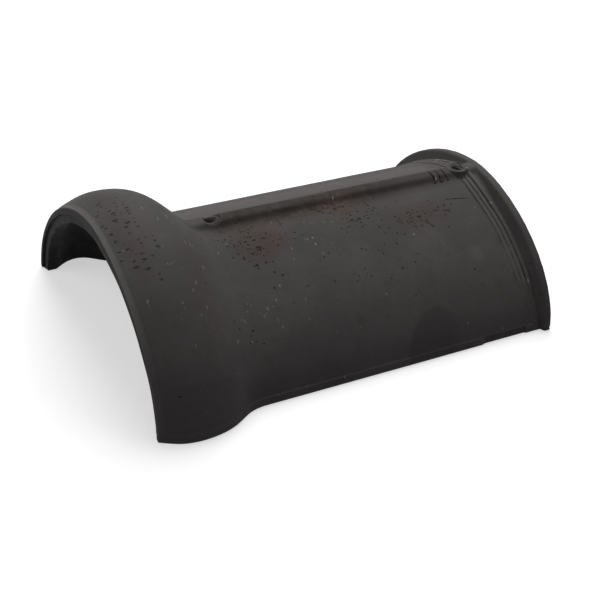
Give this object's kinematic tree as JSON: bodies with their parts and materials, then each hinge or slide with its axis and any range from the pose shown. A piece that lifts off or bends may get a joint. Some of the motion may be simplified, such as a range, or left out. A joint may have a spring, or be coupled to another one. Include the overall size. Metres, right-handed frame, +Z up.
{
  "type": "ridge tile",
  "caption": "Half-round fired-clay ridge tile with a bulged socket collar, a crest bead, countersunk screw holes and a raised rim.",
  "frame": {"origin": "centre of the bounding box, on the floor plane that the two long feet rest on", "axes": "+X along the tile from the collar end to the rim end, +Z up through the crest, +Y across the tile"},
  "size_m": [0.37, 0.2908, 0.1252],
  "materials": {
    "fired_clay": "matt"
  },
  "bodies": {
    "root": {"ridge_tile": "fired_clay"}
  },
  "joints": []
}
